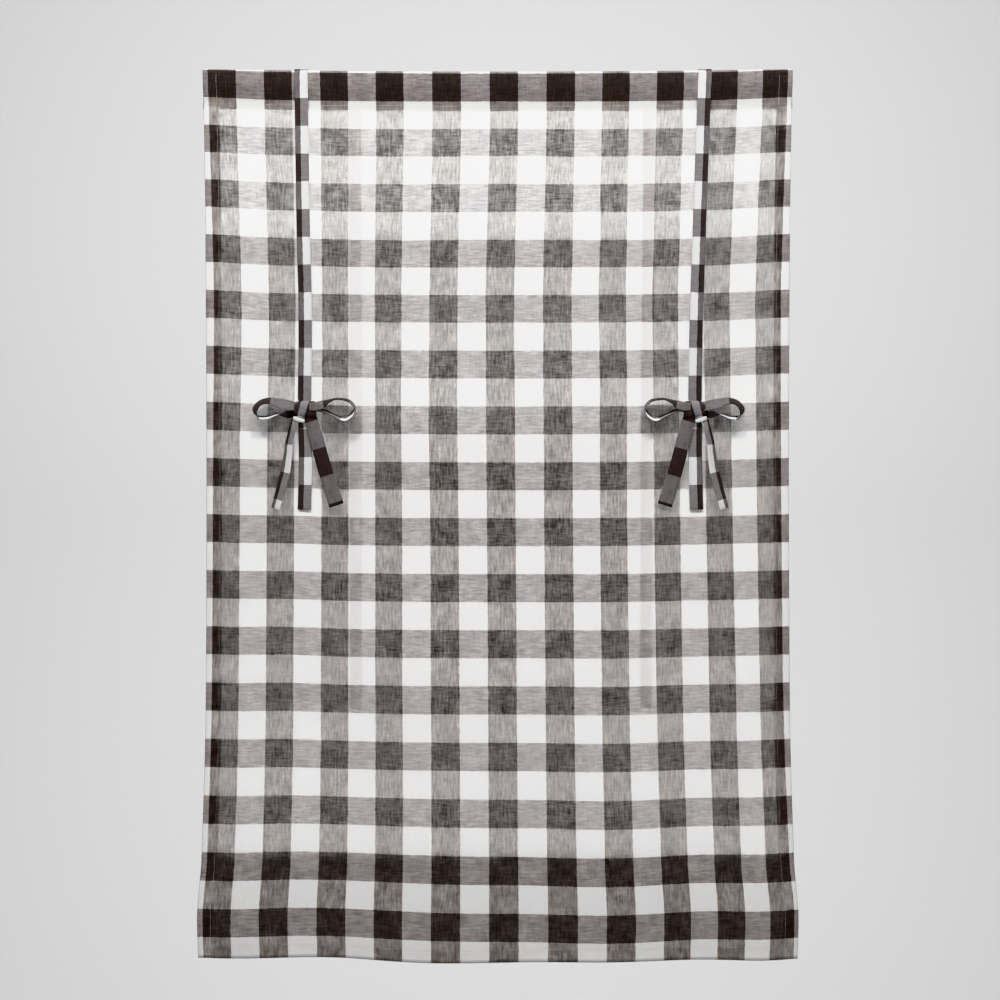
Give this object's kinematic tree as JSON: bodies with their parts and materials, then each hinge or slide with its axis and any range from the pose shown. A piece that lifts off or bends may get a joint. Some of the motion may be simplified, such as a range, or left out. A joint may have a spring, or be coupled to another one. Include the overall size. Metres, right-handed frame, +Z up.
{
  "type": "balloon shade",
  "caption": "Flat buffalo-check shade on a rod pocket, let down, with two front straps tied in bows and two ties behind for gathering it up.",
  "frame": {"origin": "middle of the rod pocket's top edge, where the rod carries the shade", "axes": "+X to the right as seen from the front, +Z up, the front faces -Y"},
  "size_m": [1.0728, 0.0693, 1.6045],
  "materials": {
    "check_cotton": "slubby plain weave cotton in black and white checks, slightly sheer",
    "strap_cotton": "the same check cotton folded and stitched into flat bands"
  },
  "bodies": {
    "root": {"panel": "check_cotton", "rod_pocket": "check_cotton", "strap_left": "strap_cotton", "strap_right": "strap_cotton", "bow_left": "strap_cotton", "bow_right": "strap_cotton", "back_tie_left": "strap_cotton", "back_tie_right": "strap_cotton"}
  },
  "joints": []
}
